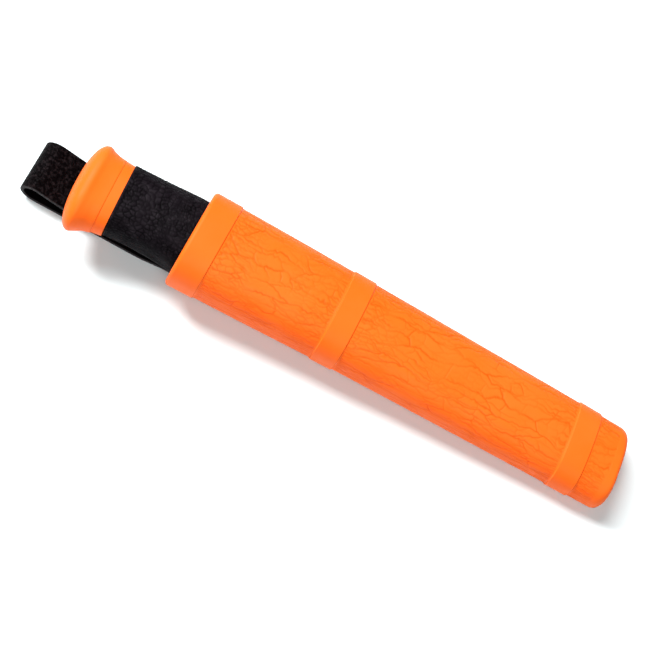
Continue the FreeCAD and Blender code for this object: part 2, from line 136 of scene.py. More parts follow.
# Inside of the sheath: runs of rings as start, end and step, finest at the rivets, then the
# flared mouth as the place of each ring and how far it is opened out
HOLLOW_RUNS = ((192.6, 34.0, 2.6), (33.4, 4.0, 0.6), (3.0, 1.2, 0.9))
MOUTH_RINGS = ((0.4, 0.36), (0.0, 0.69))

# Handle: leans of the pommel's ridge and of the joints on either side of the core's ring, the
# grip's wall, the end and the roundness of the dome, and the middle between the tang pins
RIDGE_LEAN = -0.025
CAP_JOINT_LEAN = -0.045
GRIP_JOINT_LEAN = -0.06
GRIP_WALL = 2.4
POMMEL_END = -50.4
DOME_POWER = 2.35
PIN_MIDDLE = (22.0, 1.0)

# Socket in the pommel: its floor, half width, offset to the edge side, half height, squareness
SPIGOT_SOCKET = (-45.1, 10.1, 1.0, 7.1)
SOCKET_POWER = 14.0

# Strap: thickness, width, place across the knife, ends of the tab on the sheath and its cut
# corners, then the loop's corners and the radii that they are bent to
LEATHER = 1.7
STRAP_WIDTH = 22.4
STRAP_Y = 1.9
TAB = (34.5, -3.0)
TAB_CORNER = 5.0
TAB_BEND = 3.0
LOOP_FRONT = ((-12.0, 7.7), (-49.7, 8.9))
FOLD_X = -70.6
FOLD_RADIUS = 6.4
LOOP_RISE_ANGLE = 17.0
LOOP_BACK_LIFT_X = -15.0
LOOP_BEND = 24.0

# Meshes: the step along the knife, then the points around it and the oval's height over its width
SHELL_STEP = 0.27
SHELL_AROUND = (400, 0.66)
RIM_RINGS = 9
END_RINGS = 25
FACE_RINGS = 11
FLOOR_RINGS = 9
GRIP_STEP = 0.26
GRIP_HOLLOW_STEP = 6.0
GRIP_AROUND = (330, 0.72)
POMMEL_STEP = 0.3
POMMEL_AROUND = (220, 0.62)
DOME_RINGS = 46
DOME_TIP = 0.99999
STRAP_STEP = 0.5

# Rings beside a band's edge: their distances from it; the evenly spaced ones give way this near
EDGE_STEPS = (0.05, 0.14, 0.22, 0.3, 0.45)
EDGE_CLEAR = 0.5

# Edges: how softly the moulded ones turn, depth and length of the rounded ends, the radius of the
# strap's edges, how much thinner it is than its leather, and the width that the grey of its cut edge,
# partly painted highlight, fades over
BAND_SOFTNESS = 0.26
PAD_SOFTNESS = 0.5
POCKET_SOFTNESS = 0.2
RIDGE_SOFTNESS = 0.55
GRIP_END_ROUND = (0.5, 0.8)
CAP_END_ROUND = (0.12, 0.25)
STRAP_EDGE_ROUND = 0.42
STRAP_SLACK = 0.04
CUT_EDGE_HIGHLIGHT_FADE = 0.3

# Leather grain: depth, the girth it is laid out on, where it fades in beside smooth parts,
# then the size of its cells along and across the knife and the width of the cracks between them
GRAIN_DEPTH = 0.2
GRAIN_GIRTH = 2.0 * math.pi * 17.0
GRAIN_FADE = (0.25, 1.2)
GRAIN_END_FADE = (-1.0, 0.5)
LONG_CELL, LONG_CRACK = (22.0, 4.6), 0.21
LONG_SLANT = 0.06
MAIN_CELL, MAIN_CRACK = (9.0, 2.5), 0.19
FINE_CELL, FINE_CRACK = (4.5, 1.4), 0.17
GRIP_GRAIN_DEPTH = 0.32
GRIP_GRAIN_GIRTH = 2.0 * math.pi * 14.5
GRIP_GRAIN_FADE = (0.3, 1.4)
GRIP_CELL, GRIP_CRACK = (2.5, 1.6), 0.26
GRIP_FINE_CELL, GRIP_FINE_CRACK = (1.3, 0.9), 0.2

# Wear and painted highlight, a lighter colour: how strong it is on the rim and at the bands, and how far it
# reaches from a band's edge
RIM_WEAR_HIGHLIGHT = 0.6
BAND_WEAR_HIGHLIGHT = 0.5
WEAR_HIGHLIGHT_WIDTH = 0.35


def named_joint(frame, name):
    """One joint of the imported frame."""
    return next(joint for joint in frame["joints"] if joint["name"] == name)


class Placement:
    """The knife's own frame in the row frame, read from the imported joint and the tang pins."""

    def __init__(self, frame):
        self.along = -Vector(named_joint(frame, "knife_draw")["axis"]).normalized()
        self.side = Vector((0.0, 1.0, 0.0))
        self.up = self.along.cross(self.side)
        low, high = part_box("tang_pins")
        pin_x, pin_y = PIN_MIDDLE
        self.origin = (low + high) / 2.0 - MM * (pin_x * self.along + pin_y * self.side)

    def row(self, points):
        """Knife-frame millimetres to row-frame metres."""
        turn = np.array((self.along, self.side, self.up))
        return np.array(self.origin) + MM * (np.asarray(points) @ turn)


# ---------------------------------------------------------------- ovals and rings

def reaches(stations, x):
    """The three reaches of the oval at each x, on a smooth curve through the stations."""
    table = np.array(stations)
    x = np.asarray(x, float)
    last = len(table) - 2
    low = np.clip(np.searchsorted(table[:, 0], x, side="right") - 1, 0, last)
    high = low + 1
    before = np.maximum(low - 1, 0)
    after = np.minimum(high + 1, last + 1)
    span = (table[high, 0] - table[low, 0])[:, None]
    share = (x[:, None] - table[low, 0][:, None]) / span
    gain = table[high, 1:] - table[low, 1:]
    rise_low = span * (table[high, 1:] - table[before, 1:]) / (table[high, 0] - table[before, 0])[:, None]
    rise_high = span * (table[after, 1:] - table[low, 1:]) / (table[after, 0] - table[low, 0])[:, None]
    bend = (rise_low - gain) * (1.0 - share) + (gain - rise_high) * share
    return table[low, 1:] + share * gain + share * (1.0 - share) * bend


def oval_unit(turns, power=OVAL_POWER):
    """A unit oval's points at the given angles."""
    cosine, sine = np.cos(turns), np.sin(turns)
    across = np.sign(cosine) * np.abs(cosine) ** (2.0 / power)
    upward = np.sign(sine) * np.abs(sine) ** (2.0 / power)
    return across, upward


def even_turns(count, flatness):
    """Angles that put points evenly round a flattened oval; the first is on the underside."""
    fine = np.linspace(0.0, 2.0 * math.pi, 6001)
    across, upward = oval_unit(fine)
    steps = np.hypot(np.diff(across), flatness * np.diff(upward))
    travelled = np.concatenate(((0.0,), np.cumsum(steps)))
    wanted = travelled[-1] * np.arange(count) / count
    return np.interp(wanted, travelled, fine) - math.pi / 2.0


def rings(x, lean, reach, turns, power=OVAL_POWER):
    """A grid of points: one leaning oval for each place on the axis."""
    across, upward = oval_unit(turns, power)
    spine, edge, half = (reach[:, column][:, None] for column in range(3))
    y = across * np.where(across > 0, spine, edge)
    z = upward * half
    return np.stack((x[:, None] + lean[:, None] * y, y, z), axis=-1)


def normals(grid):
    """Outward normals of a closed grid whose rings run towards the tip."""
    along = np.gradient(grid, axis=0)
    around = np.roll(grid, -1, axis=1) - np.roll(grid, 1, axis=1)
    outward = np.cross(around, along)
    return outward / np.maximum(np.linalg.norm(outward, axis=-1, keepdims=True), 1e-9)


def smooth_step(low, high, value):
    """0 below low, 1 above high and a smooth rise between."""
    share = np.clip((value - low) / (high - low), 0.0, 1.0)
    return share * share * (3.0 - 2.0 * share)


def evenly(start, end, step):
    """Places from start to end, about step apart, both ends included."""
    return np.linspace(start, end, max(2, int(round(abs(end - start) / step)) + 1))


def quarter(count):
    """Angles of a quarter turn from zero."""
    return np.linspace(0.0, math.pi / 2.0, count)


# ---------------------------------------------------------------- random fields and leather grain

TABLE_ROWS = 512
TABLE_START = 100.0


def noise(u, v, cell, round_v, seed):
    """Smooth random field from -1 to 1; it repeats in v after round_v."""
    cell_u, cell_v = cell
    count_v = max(3, int(round(round_v / cell_v)))
    table = np.random.default_rng(seed).uniform(-1.0, 1.0, (TABLE_ROWS, count_v))
    a, b = u / cell_u + TABLE_START, v / round_v * count_v
    i, j = np.floor(a).astype(int), np.floor(b).astype(int)
    s, t = a - i, b - j
    s, t = s * s * (3.0 - 2.0 * s), t * t * (3.0 - 2.0 * t)
    i0, i1 = i % TABLE_ROWS, (i + 1) % TABLE_ROWS
    j0, j1 = j % count_v, (j + 1) % count_v
    near = table[i0, j0] * (1.0 - t) + table[i0, j1] * t
    far = table[i1, j0] * (1.0 - t) + table[i1, j1] * t
    return near * (1.0 - s) + far * s


def middles_nearby(u, v, cell_u, cell_v, count_v, seed):
    """The way from each place to the random middles of the nine cells about it, in cells."""
    jitter = np.random.default_rng(seed).uniform(0.06, 0.94, (TABLE_ROWS, count_v, 2))
    a, b = u / cell_u + TABLE_START, v / cell_v
    i, j = np.floor(a).astype(int), np.floor(b).astype(int)
    away = []
    for di in (-1, 0, 1):
        for dj in (-1, 0, 1):
            middle = jitter[(i + di) % TABLE_ROWS, (j + dj) % count_v]
            away.append(np.stack((i + di + middle[..., 0] - a, j + dj + middle[..., 1] - b), axis=-1))
    return np.array(away)


def crack_distance(u, v, cell, round_v, seed):
    """Distance to the nearest crack between random cells of about the given size."""
    count_v = max(3, int(round(round_v / cell[1])))
    cell_u, cell_v = cell[0], round_v / count_v
    away = middles_nearby(u, v, cell_u, cell_v, count_v, seed)
    squared = (away ** 2).sum(axis=-1)
    nearest = np.take_along_axis(away, squared.argmin(axis=0)[None, ..., None], axis=0)[0]
    best = np.full(u.shape, 1e9)
    for other in away:
        gap = other - nearest
        length = np.linalg.norm(gap, axis=-1)
        same = length < 1e-9
        unit = gap / np.where(same, 1.0, length)[..., None]
        scaled = ((other + nearest) / 2.0 * unit).sum(axis=-1)
        steepness = np.hypot(unit[..., 0] / cell_u, unit[..., 1] / cell_v)
        distance = np.where(same, 1e9, scaled / np.where(same, 1.0, steepness))
        best = np.minimum(best, distance)
    return best


def wander(u, v, round_v, reach, seed):
    """The plane's places, bent so that straight cracks meander and turn ragged."""
    du = 2.0 * reach * noise(u, v, (13.0 * reach, 9.0 * reach), round_v, seed)
    dv = 1.3 * reach * noise(u, v, (12.0 * reach, 12.0 * reach), round_v, seed + 1)
    dv = dv + 0.6 * reach * noise(u, v, (3.6 * reach, 4.0 * reach), round_v, seed + 2)
    du = du + 0.5 * reach * noise(u, v, (1.6 * reach, 1.6 * reach), round_v, seed + 3)
    dv = dv + 0.3 * reach * noise(u, v, (1.1 * reach, 1.6 * reach), round_v, seed + 4)
    return u + du, v + dv


def valley(distance, width):
    """A crack's depth, 1 on its line and falling to nothing beside it."""
    return np.exp(-(distance / width) ** 2)


def sheath_grain(u, v, round_v, from_band):
    """How deep the leather grain of the sheath is cut, 0 to 1, and how much of it is crack."""
    bent_u, bent_v = wander(u, v, round_v, 1.0, 11)
    long = crack_distance(bent_u, bent_v + LONG_SLANT * bent_u, LONG_CELL, round_v, 20)
    main = crack_distance(bent_u, bent_v, MAIN_CELL, round_v, 21)
    fine = crack_distance(bent_u + 3.0, bent_v, FINE_CELL, round_v, 22)
    strong = np.clip(0.75 + 0.6 * noise(u, v, (7.0, 4.0), round_v, 30), 0.25, 1.0)
    middling = np.clip(0.40 + 0.6 * noise(u, v, (6.0, 3.6), round_v, 31), 0.0, 0.85)
    patchy = 0.06 + 0.42 * noise(u, v, (9.0, 6.0), round_v, 32)
    patchy = np.clip(patchy + 0.9 * np.exp(-from_band / 5.0), 0.0, 0.85)
    crack = np.maximum(strong * valley(long, LONG_CRACK), middling * valley(main, MAIN_CRACK))
    crack = np.maximum(crack, patchy * valley(fine, FINE_CRACK))
    pillow = 0.30 * np.exp(-long / 0.6) + 0.20 * np.exp(-main / 0.45)
    return np.clip(0.8 * crack + pillow, 0.0, 1.0), crack


def grip_grain(u, v, round_v):
    """The grip's grain: small raised cells with ragged gaps between them."""
    bent_u, bent_v = wander(u, v, round_v, 0.5, 41)
    main = crack_distance(bent_u, bent_v, GRIP_CELL, round_v, 51)
    fine = crack_distance(bent_u + 1.0, bent_v + 1.0, GRIP_FINE_CELL, round_v, 52)
    strong = np.clip(0.8 + 0.4 * noise(u, v, (5.0, 4.0), round_v, 53), 0.35, 1.0)
    patchy = np.clip(0.5 + 0.5 * noise(u, v, (6.0, 5.0), round_v, 54), 0.0, 0.9)
    crack = np.maximum(strong * valley(main, GRIP_CRACK), patchy * valley(fine, GRIP_FINE_CRACK))
    pillow = 0.4 * np.exp(-main / 0.5)
    return np.clip(0.7 * crack + pillow, 0.0, 1.0), crack


# ---------------------------------------------------------------- meshes

def round_end(from_end, inset, length):
    """How far an edge is drawn in at each distance from its end: a quarter round, inset deep."""
    short = 1.0 - np.clip(from_end / length, 0.0, 1.0)
    return inset * (1.0 - np.sqrt(1.0 - short ** 2))[:, None]


def grid_faces(rows, around, capped):
    """Faces between closed rings; the last ring meets the first, unless both are capped."""
    index = np.arange(rows * around).reshape(rows, around)
    right = np.roll(index, -1, axis=1)
    if capped:
        quads = np.stack((index[:-1], index[1:], right[1:], right[:-1]), axis=-1)
        return quads.reshape(-1, 4).tolist() + [index[0].tolist(), index[-1][::-1].tolist()]
    below, below_right = np.roll(index, -1, axis=0), np.roll(right, -1, axis=0)
    quads = np.stack((index, below, below_right, right), axis=-1)
    return quads.reshape(-1, 4).tolist()


def grid_object(name, points, material, stands_for, masks=None, body=None, capped=False):
    """A piece from a grid of closed rings, with values for its materials stored on its points."""
    mesh = bpy.data.meshes.new(name)
    mesh.from_pydata(points.reshape(-1, 3).tolist(), [], grid_faces(*points.shape[:2], capped))
    for label, values in (masks or {}).items():
        layer = mesh.attributes.new(label, "FLOAT", "POINT")
        layer.data.foreach_set("value", values.astype(np.float32).ravel())
    mesh.polygons.foreach_set("use_smooth", np.ones(len(mesh.polygons), bool))
    mesh.validate()
    piece = bpy.data.objects.new(name, mesh)
    piece.data.materials.append(material)
    bpy.context.scene.collection.objects.link(piece)
    if body:
        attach(piece, body)
    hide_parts(*stands_for)
    return piece


def outer_places():
    """Places of the shell's outer rings, how far a band stands proud there, and the bands' edges."""
    edges = [COLLAR_EDGE[0]] + [place for place, lean in MIDDLE_EDGES + TIP_EDGES]
    x = evenly(RIM_ROUND, SHEATH_END - END_ROUND, SHELL_STEP)
    for edge in edges:
        x = x[np.abs(x - edge) > EDGE_CLEAR]
    close = np.array([side * step for side in (-1.0, 1.0) for step in EDGE_STEPS])
    x = np.sort(np.concatenate([x] + [edge + close for edge in edges]))
    past = [smooth_step(-BAND_SOFTNESS, BAND_SOFTNESS, x - edge) for edge in edges]
    proud = 1.0 - past[0] + past[1] - past[2] + past[3] - past[4]
    return x, proud, edges


def outer_lean(x):
    """How far the rings lean at each place, so that they follow the slanted bands."""
    slants = ((0.0, 0.0), COLLAR_EDGE, *MIDDLE_EDGES, *TIP_EDGES, (SHEATH_END - END_ROUND, END_LEAN))
    return np.interp(x, [place for place, lean in slants], [lean for place, lean in slants])


def flatten_pad(grid):
    """The grid with its underside flat under the strap's tab, and how far each point is in that pad."""
    x_low, x_high, y_low, y_high = PAD
    z = grid[..., 2]
    inside = (z < 0).astype(float)
    for value, low, high in ((grid[..., 0], x_low, x_high), (grid[..., 1], y_low, y_high)):
        inside = inside * smooth_step(-PAD_SOFTNESS, PAD_SOFTNESS, value - low)
        inside = inside * smooth_step(-PAD_SOFTNESS, PAD_SOFTNESS, high - value)
    flat = grid.copy()
    flat[..., 2] = z + inside * np.minimum(-PAD_DEPTH - z, 0.0)
    return flat, inside


def sheath_skin(turns):
    """The outside from mouth to tip with its bands and grain, and the masks for the painted shade in the
    cracks and for the wear with painted highlight.
    """
    x, proud, edges = outer_places()
    reach = reaches(SHEATH_OUTSIDE, x) + BAND_PROUD * proud[:, None]
    body = rings(x, outer_lean(x), reach, turns)
    body, pad = flatten_pad(body)
    u = body[..., 0]
    v = np.broadcast_to(GRAIN_GIRTH * np.arange(len(turns)) / len(turns), u.shape)
    from_band = np.min([np.abs(x - edge) for edge in edges], axis=0)
    from_band = np.broadcast_to(from_band[:, None], u.shape)
    depth, crack = sheath_grain(u, v, GRAIN_GIRTH, from_band)
    clear = (1.0 - proud[:, None]) * smooth_step(*GRAIN_FADE, from_band) * (1.0 - pad)
    clear = clear * (1.0 - smooth_step(*GRAIN_END_FADE, u - SHEATH_END + END_ROUND))
    body = body - normals(body) * (GRAIN_DEPTH * depth * clear)[..., None]
    return body, crack * clear, BAND_WEAR_HIGHLIGHT * valley(from_band, WEAR_HIGHLIGHT_WIDTH)


def sheath_rim(turns):
    """The rounded mouth rim, from the flat of the mouth out to the collar."""
    turn = quarter(RIM_RINGS)[:-1]
    reach = reaches(SHEATH_OUTSIDE, np.full(1, RIM_ROUND)) + BAND_PROUD
    x = RIM_ROUND * (1.0 - np.cos(turn))
    inset = RIM_ROUND * (1.0 - np.sin(turn))
    grid = rings(x, np.zeros_like(x), reach - inset[:, None], turns)
    return flatten_pad(grid)[0]


def drain_hole(turns, x):
    """A ring of the drain hole's size at one place."""
    y, z = DRAIN_RADIUS * np.cos(turns), DRAIN_RADIUS * np.sin(turns)
    return np.stack((np.full_like(turns, x), y, z), -1)


def sheath_tail(turns):
    """The rounded end, its flat face and the wall of the drain hole."""
    turn = quarter(END_RINGS)[1:]
    base = SHEATH_END - END_ROUND
    reach = reaches(SHEATH_OUTSIDE, np.full(1, base))
    inset = END_ROUND * (1.0 - np.cos(turn))
    past = np.clip(1.0 - END_ROUND / END_ROUND_HEIGHT * (1.0 - np.sin(turn)), 0.0, 1.0)
    inset_high = END_ROUND_HEIGHT * (1.0 - np.sqrt(1.0 - past ** 2))
    reach = reach - np.stack((inset, inset, inset_high), -1)
    end = rings(base + END_ROUND * np.sin(turn), np.full_like(turn, END_LEAN), reach, turns)
    hole = drain_hole(turns, SHEATH_END)
    hole[:, 0] += END_LEAN * hole[:, 1]
    share = np.linspace(0.0, 1.0, FACE_RINGS)[1:, None, None]
    face = end[-1] * (1.0 - share) + hole * share
    floor = np.array(hole)
    floor[:, 0] = SHEATH_INSIDE[-1][0]
    wall = np.stack((hole * 0.5 + floor * 0.5, floor))
    return np.concatenate((end, face, wall))


def sheath_hollow(turns):
    """The inside, from the drain hole along the floor and out to the mouth, with the rivet pockets."""
    x = np.concatenate([evenly(*run) for run in HOLLOW_RUNS])
    wall = rings(x, np.zeros_like(x), reaches(SHEATH_INSIDE, x), turns)
    share = np.linspace(0.0, 1.0, FLOOR_RINGS)[1:-1, None, None]
    floor = drain_hole(turns, x[0]) * (1.0 - share) + wall[0] * share
    radius, depth = RIVET_POCKET
    for place in RIVET_X:
        off = np.hypot(wall[..., 0] - place, wall[..., 1] - STRAP_Y)
        sunk = smooth_step(-POCKET_SOFTNESS, POCKET_SOFTNESS, radius - off) * (wall[..., 2] < 0)
        wall[..., 2] += sunk * (-depth - wall[..., 2])
    mouth_x, opened = np.array(MOUTH_RINGS).T
    flare = reaches(SHEATH_INSIDE, mouth_x) + opened[:, None]
    return np.concatenate((floor, wall, rings(mouth_x, np.zeros_like(mouth_x), flare, turns)))


def build_sheath(place, material):
    """The moulded shell: rim, skin, end and hollow in one closed grid, flat where it rests."""
    turns = even_turns(*SHELL_AROUND)
    skin, crack, wear_highlight = sheath_skin(turns)
    tail, hollow, rim = sheath_tail(turns), sheath_hollow(turns), sheath_rim(turns)
    points = place.row(np.concatenate((rim, skin, tail, hollow)))
    points[..., 2] = np.maximum(points[..., 2], 0.0)
    before = np.zeros((len(rim), len(turns)))
    after = np.zeros((len(tail) + len(hollow), len(turns)))
    # Masks: painted shade in the cracks, and wear with painted highlight on the rim and bands.
    masks = {
        "crack": np.concatenate((before, crack, after)),
        "wear_highlight": np.concatenate((before + RIM_WEAR_HIGHLIGHT, wear_highlight, after)),
    }
    grid_object("sheath_body", points, material, ("sheath_shell",), masks, "sheath")


def build_grip(place, material):
    """The rubber grip: grained outside, plain ends and a hollow for the core."""
    turns = even_turns(*GRIP_AROUND)
    start, end = GRIP_OUTSIDE[0][0], GRIP_OUTSIDE[-1][0]
    x = evenly(start, end, GRIP_STEP)
    reach = reaches(GRIP_OUTSIDE, x)
    from_end = np.minimum(x - start, end - x)
    reach = reach - round_end(from_end, *GRIP_END_ROUND)
    skin = rings(x, GRIP_JOINT_LEAN * (end - x) / (end - start), reach, turns)
    v = np.broadcast_to(GRIP_GRAIN_GIRTH * np.arange(len(turns)) / len(turns), skin.shape[:2])
    depth, crack = grip_grain(skin[..., 0], v, GRIP_GRAIN_GIRTH)
    clear = smooth_step(*GRIP_GRAIN_FADE, from_end)[:, None]
    skin = skin - normals(skin) * (GRIP_GRAIN_DEPTH * depth * clear)[..., None]
    inner_x = evenly(end, start, GRIP_HOLLOW_STEP)
    inner_lean = GRIP_JOINT_LEAN * (end - inner_x) / (end - start)
    hollow = rings(inner_x, inner_lean, reaches(GRIP_OUTSIDE, inner_x) - GRIP_WALL, turns)
    points = place.row(np.concatenate((skin, hollow)))
    # The crack mask marks where painted shade darkens the grain.
    masks = {"crack": np.concatenate((crack * clear, np.zeros((len(inner_x), len(turns)))))}
    grid_object("grip", points, material, ("grip_sleeve",), masks, "knife")


def soften(x, reach, place, width):
    """Rounds the crease at one place by averaging the outline over a short length about it."""
    average = np.zeros_like(reach)
    for column in range(3):
        shifted = [np.interp(x + width * shift, x, reach[:, column]) for shift in np.linspace(-1.0, 1.0, 9)]
        average[:, column] = np.mean(shifted, axis=0)
    near = np.exp(-((x - place) / (1.4 * width)) ** 4)[:, None]
    return reach * (1.0 - near) + average * near


def pommel_outline():
    """Places from the tip of the dome to the neck's joint, and the oval's reaches at each."""
    ridge_x, front_x = POMMEL_NECK[0][0], POMMEL_NECK[-1][0]
    share = np.minimum(np.sin(quarter(DOME_RINGS)[::-1]), DOME_TIP)
    shrink = (1.0 - share ** DOME_POWER) ** (1.0 / DOME_POWER)
    dome = np.array(POMMEL_NECK[0][1:]) * shrink[:, None]
    neck_x = evenly(ridge_x, front_x, POMMEL_STEP)[1:]
    x = np.concatenate((ridge_x + (POMMEL_END - ridge_x) * share, neck_x))
    reach = soften(x, np.concatenate((dome, reaches(POMMEL_NECK, neck_x))), ridge_x, RIDGE_SOFTNESS)
    return x, reach - round_end(front_x - x, *CAP_END_ROUND)


def spigot_socket(turns, front_x):
    """The socket for the core's spigot, from the neck's joint to its floor."""
    floor_x, wide, off, deep = SPIGOT_SOCKET
    x, lean = np.array((front_x, floor_x)), np.array((CAP_JOINT_LEAN, 0.0))
    socket = rings(x, lean, np.array(((wide, wide, deep),) * 2), turns, SOCKET_POWER)
    socket[..., 1] -= off
    return socket


def build_pommel(place, material):
    """The flared cap: neck, softened ridge, low dome and socket."""
    turns = even_turns(*POMMEL_AROUND)
    ridge_x, front_x = POMMEL_NECK[0][0], POMMEL_NECK[-1][0]
    x, reach = pommel_outline()
    lean = np.interp(x, (ridge_x, front_x), (RIDGE_LEAN, CAP_JOINT_LEAN))
    points = place.row(np.concatenate((rings(x, lean, reach, turns), spigot_socket(turns, front_x))))
    grid_object("pommel", points, material, ("pommel_cap",), body="knife", capped=True)


# ---------------------------------------------------------------- strap

def arc_path(corners, step):
    """Points along straight runs joined by tangent arcs; each corner is (x, z, radius)."""
    points = [np.array(corners[0][:2])]
    for index in range(1, len(corners) - 1):
        here = np.array(corners[index][:2])
        arrive = here - np.array(corners[index - 1][:2])
        leave = np.array(corners[index + 1][:2]) - here
        arrive, leave = arrive / np.linalg.norm(arrive), leave / np.linalg.norm(leave)
        turn = math.acos(max(-1.0, min(1.0, float(arrive @ leave))))
        radius = corners[index][2]
        trim = radius * math.tan(turn / 2.0)
        side = math.copysign(1.0, arrive[0] * leave[1] - arrive[1] * leave[0])
        centre = here - arrive * trim + side * radius * np.array((-arrive[1], arrive[0]))
        spoke = here - arrive * trim - centre
        for part in np.linspace(0.0, turn, 2 + int(radius * turn / step)):
            c, s = math.cos(side * part), math.sin(side * part)
            points.append(centre + np.array((c * spoke[0] - s * spoke[1], s * spoke[0] + c * spoke[1])))
    points.append(np.array(corners[-1][:2]))
    return np.array(points)


def resample(path, step):
    """The same path as points evenly apart."""
    lengths = np.linalg.norm(np.diff(path, axis=0), axis=1)
    travelled = np.concatenate(((0.0,), np.cumsum(lengths)))
    wanted = evenly(0.0, travelled[-1], step)
    columns = [np.interp(wanted, travelled, path[:, column]) for column in range(path.shape[1])]
    return np.stack(columns, -1), wanted


def on_tab(place, x, z, radius=0.0):
    """A corner of the strap's line on the sheath's tab, given in the knife's frame."""
    at = place.row((x, 0.0, z)) / MM
    return float(at[0]), float(at[2]), radius


def strap_line(place):
    """The strap's outer face from one end over the tab, round the loop and back to the other end."""
    middle = place.origin.x / MM
    far, near = TAB
    last_x, last_z = LOOP_FRONT[-1]
    fold_top = last_z + math.tan(math.radians(LOOP_RISE_ANGLE)) * (last_x - FOLD_X)
    depth = PAD_DEPTH + 2.0 * LEATHER
    corners = [on_tab(place, far, -PAD_DEPTH), on_tab(place, near, -PAD_DEPTH, TAB_BEND)]
    corners += [(x + middle, z, LOOP_BEND) for x, z in LOOP_FRONT]
    corners += [(FOLD_X + middle, z, FOLD_RADIUS) for z in (fold_top, 0.0)]
    corners += [(LOOP_BACK_LIFT_X + middle, 0.0, LOOP_BEND)]
    corners += [on_tab(place, near, -depth, TAB_BEND), on_tab(place, far, -depth)]
    return arc_path(corners, STRAP_STEP / 2.0)


def strap_section(half_width, thickness):
    """A flat section with rounded edges: offsets across the strap and into its thickness."""
    radius = STRAP_EDGE_ROUND
    width = half_width - radius
    sweep = np.linspace(0.0, math.pi / 2.0, 5)
    flat = width * np.linspace(-1.0, 1.0, 60)[1:-1]
    edge = width + radius * np.sin(sweep)
    level = thickness / 2.0 - radius + radius * np.cos(sweep)
    face = np.full_like(flat, thickness / 2.0)
    side = np.concatenate((edge, edge[::-1], -flat, -edge, -edge[::-1], flat))
    into = np.concatenate((-level, level[::-1], face, level, -level[::-1], -face))
    return side, into


def strap_rings(place, side, into):
    """The strap's section carried along its line, and narrowed at the ends' cut corners."""
    outer, travelled = resample(strap_line(place), STRAP_STEP)
    ahead = np.gradient(outer, axis=0)
    ahead = ahead / np.linalg.norm(ahead, axis=1, keepdims=True)
    inward = np.stack((-ahead[:, 1], ahead[:, 0]), -1)
    centre = outer + inward * (LEATHER / 2.0)
    from_end = np.minimum(travelled, travelled[-1] - travelled)
    trim = round_end(from_end, TAB_CORNER, TAB_CORNER)
    y = STRAP_Y + side * (1.0 - trim / (STRAP_WIDTH / 2.0))
    x = centre[:, None, 0] + inward[:, None, 0] * into
    z = centre[:, None, 1] + inward[:, None, 1] * into
    return np.stack((x * MM, y * MM + place.origin.y, z * MM), -1)


def build_strap(place, material):
    """One strip of leather: two stacked ends on the sheath and the loop beyond them."""
    half_width = STRAP_WIDTH / 2.0
    side, into = strap_section(half_width, LEATHER - STRAP_SLACK)
    points = strap_rings(place, side, into)
    # Where the grey of the cut edge, partly painted highlight, is laid on.
    cut_highlight = np.clip((np.abs(side) - half_width + STRAP_EDGE_ROUND) / CUT_EDGE_HIGHLIGHT_FADE, 0.0, 1.0)
    masks = {
        "cut_edge_highlight": np.broadcast_to(cut_highlight, points.shape[:2]),
        "inner_face": np.broadcast_to((into > 0).astype(float), points.shape[:2]),
    }
    nodes = ("strap_tab", "strap_loop")
    piece = grid_object("belt_strap", points, material, nodes, masks, capped=True)
    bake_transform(piece)


# ---------------------------------------------------------------- materials

# Sockets of Blender's colour mix node
MIX_FACTOR, MIX_FIRST, MIX_SECOND, MIX_RESULT = 0, 6, 7, 2


